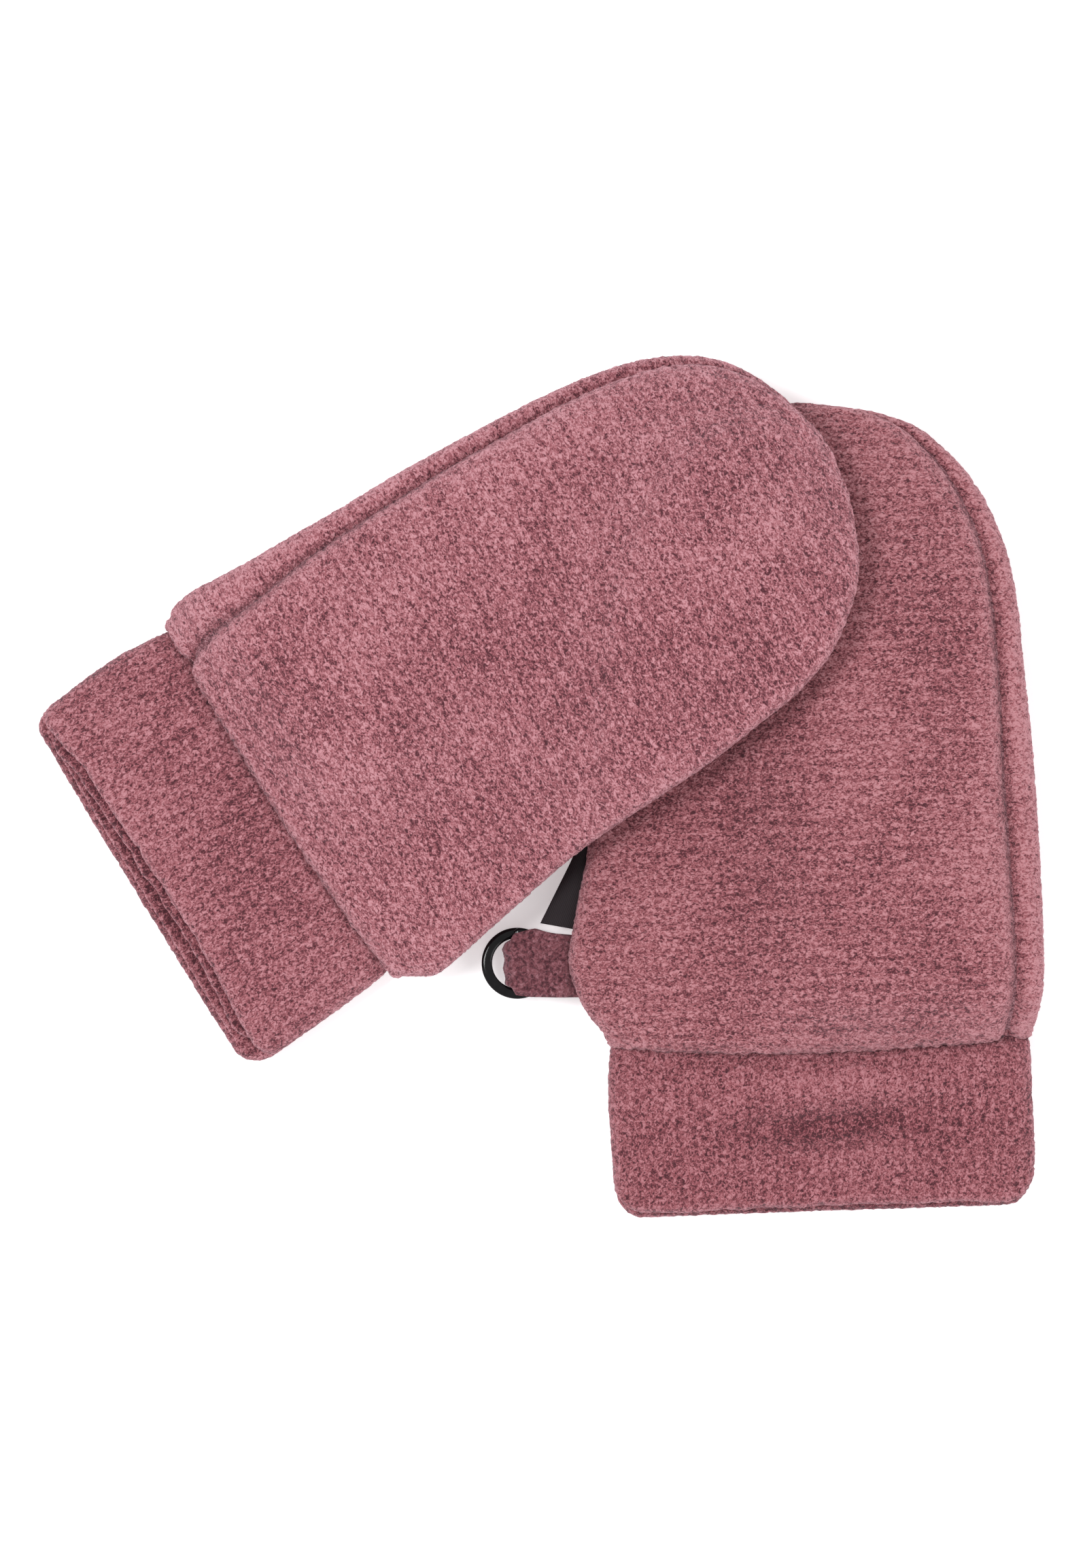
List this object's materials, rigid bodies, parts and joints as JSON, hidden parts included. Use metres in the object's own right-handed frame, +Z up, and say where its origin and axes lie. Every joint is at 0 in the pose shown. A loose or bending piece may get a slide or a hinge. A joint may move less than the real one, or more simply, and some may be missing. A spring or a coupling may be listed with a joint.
{
  "type": "pair of plush fleece mittens",
  "caption": "Toddler's dusty-rose plush mittens with doubled fleece cuffs, folded-under thumbs, and a side loop tab that holds a black split ring.",
  "frame": {"origin": "centre of the pair's footprint on the surface it lies on", "axes": "+Z up out of the surface; +Y along the left-hand mitten from cuff towards fingertips (it leans 2 degrees to -X); +X from the right-hand mitten's cuff towards the left-hand mitten"},
  "size_m": [0.1952, 0.1684, 0.0339],
  "materials": {
    "plush_fleece": "short dusty-rose plush pile",
    "lining_fleece": "flat fleece, same rose",
    "seam_thread": "matte sewing thread",
    "black_enamel": "gloss black",
    "woven_label": "satin ribbon, plain"
  },
  "bodies": {
    "left_mitten": {"left_back_panel": "plush_fleece", "left_palm_panel": "plush_fleece", "left_cuff": "plush_fleece", "left_back_lining": "lining_fleece", "left_palm_lining": "lining_fleece", "left_cuff_lining": "lining_fleece", "left_side_seam": "seam_thread", "left_wrist_seam": "seam_thread"},
    "right_mitten": {"right_back_panel": "plush_fleece", "right_palm_panel": "plush_fleece", "right_cuff": "plush_fleece", "right_back_lining": "lining_fleece", "right_palm_lining": "lining_fleece", "right_cuff_lining": "lining_fleece", "right_side_seam": "seam_thread", "right_wrist_seam": "seam_thread"},
    "left_thumb": {"left_thumb_top": "plush_fleece", "left_thumb_under": "plush_fleece", "left_thumb_lining": "lining_fleece"},
    "right_thumb": {"right_thumb_top": "plush_fleece", "right_thumb_under": "plush_fleece", "right_thumb_lining": "lining_fleece"},
    "left_tab": {"left_ring_tab": "plush_fleece"},
    "left_ring": {"left_ring": "black_enamel"},
    "left_label": {"left_label": "woven_label"}
  },
  "joints": [
    {"name": "right_mitten_lift", "type": "slide", "parent": "left_mitten", "child": "right_mitten", "axis": [0, 0, 1], "range_m": [0, 0.06]},
    {"name": "left_thumb_swing", "type": "hinge", "parent": "left_mitten", "child": "left_thumb", "pos_m": [0.08109, -0.02595, 0.0035], "axis": [0, 0, -1], "range_deg": [-16, 39]},
    {"name": "right_thumb_swing", "type": "hinge", "parent": "right_mitten", "child": "right_thumb", "pos_m": [-0.04403, 0.03313, 0.0035], "axis": [0, 0, 1], "range_deg": [0, 55]},
    {"name": "left_tab_flap", "type": "hinge", "parent": "left_mitten", "child": "left_tab", "pos_m": [0.00332, -0.03396, 0.0056], "axis": [-0.0349, 0.9994, 0], "range_deg": [-12, 95]},
    {"name": "left_ring_spin", "type": "hinge", "parent": "left_tab", "child": "left_ring", "pos_m": [-0.00478, -0.03425, 0.0056], "axis": [0, 0, 1], "continuous": true},
    {"name": "left_label_flap", "type": "hinge", "parent": "left_mitten", "child": "left_label", "pos_m": [0.00569, -0.02738, 0.00765], "axis": [0.1628, 0.9867, 0], "range_deg": [-20, 8]}
  ]
}
